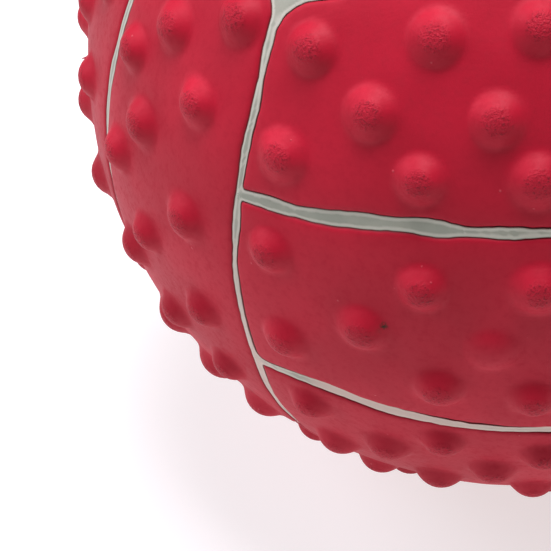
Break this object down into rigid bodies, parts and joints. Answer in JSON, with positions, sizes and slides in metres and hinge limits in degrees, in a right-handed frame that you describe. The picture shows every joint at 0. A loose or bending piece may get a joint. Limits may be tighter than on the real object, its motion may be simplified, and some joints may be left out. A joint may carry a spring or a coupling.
{
  "type": "playground ball",
  "caption": "Inflatable playground ball with a nubbed rubber cover in long panels over a ribbed carcass, with an inner bladder and a needle valve.",
  "frame": {"origin": "the ball's centre", "axes": "+Z out through the inflation valve, -Y through the middle of the front face of the panel layout, -X through its left face"},
  "size_m": [0.216, 0.216, 0.2144],
  "materials": {
    "cover_rubber": "matte red moulded rubber with a fine grain",
    "carcass_rubber": "matte pale grey rubber",
    "thread": "off-white nylon thread, wound in all directions",
    "bladder_rubber": "smooth black butyl rubber",
    "valve_rubber": "dark moulded rubber"
  },
  "bodies": {
    "root": {"front_upper_panel": "cover_rubber", "front_middle_panel": "cover_rubber", "front_lower_panel": "cover_rubber", "back_upper_panel": "cover_rubber", "back_middle_panel": "cover_rubber", "back_lower_panel": "cover_rubber", "left_front_panel": "cover_rubber", "left_middle_panel": "cover_rubber", "left_rear_panel": "cover_rubber", "right_front_panel": "cover_rubber", "right_middle_panel": "cover_rubber", "right_rear_panel": "cover_rubber", "top_left_panel": "cover_rubber", "top_middle_panel": "cover_rubber", "top_right_panel": "cover_rubber", "bottom_left_panel": "cover_rubber", "bottom_middle_panel": "cover_rubber", "bottom_right_panel": "cover_rubber", "carcass": "carcass_rubber", "winding_layer": "thread", "bladder": "bladder_rubber", "valve_housing": "valve_rubber", "valve_plug": "valve_rubber"}
  },
  "joints": []
}
